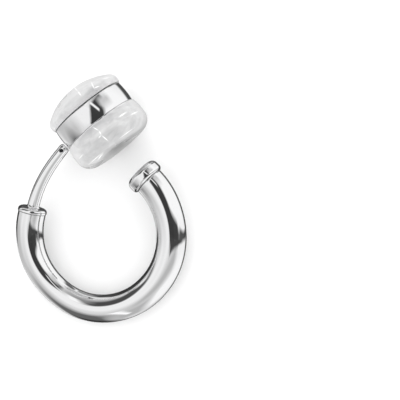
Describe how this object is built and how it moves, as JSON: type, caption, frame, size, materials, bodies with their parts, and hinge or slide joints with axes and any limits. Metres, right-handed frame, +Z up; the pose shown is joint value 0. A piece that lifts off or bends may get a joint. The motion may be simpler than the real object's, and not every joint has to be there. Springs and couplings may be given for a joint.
{
  "type": "clip-on hoop earring",
  "caption": "Polished silver hoop earring with a rounded end cap and a cushioned clip head hinged on a curved stem.",
  "frame": {"origin": "middle of the bounding box's base, on the surface that the earring lies on", "axes": "+Z up; +Y from the bottom of the hoop towards the clip head; +X towards the hoop's open front, where the end cap is"},
  "size_m": [0.02, 0.0278, 0.01],
  "materials": {
    "polished_silver": "mirror-polished silver plate",
    "dark_pin": "darkened pin end",
    "clear_silicone": "clear, slightly milky silicone"
  },
  "bodies": {
    "hoop": {"hoop_tube": "polished_silver", "end_cap": "polished_silver", "clip_stem": "polished_silver", "hinge_pin": "dark_pin"},
    "clip_head": {"clip_drum": "polished_silver", "upper_pad": "clear_silicone", "lower_pad": "clear_silicone"}
  },
  "joints": [
    {"name": "clip_hinge", "type": "hinge", "parent": "hoop", "child": "clip_head", "pos_m": [-0.00426, 0.00535, 0.00444], "axis": [-0.0146, -0.1634, 0.9865], "range_deg": [0, 70]}
  ]
}
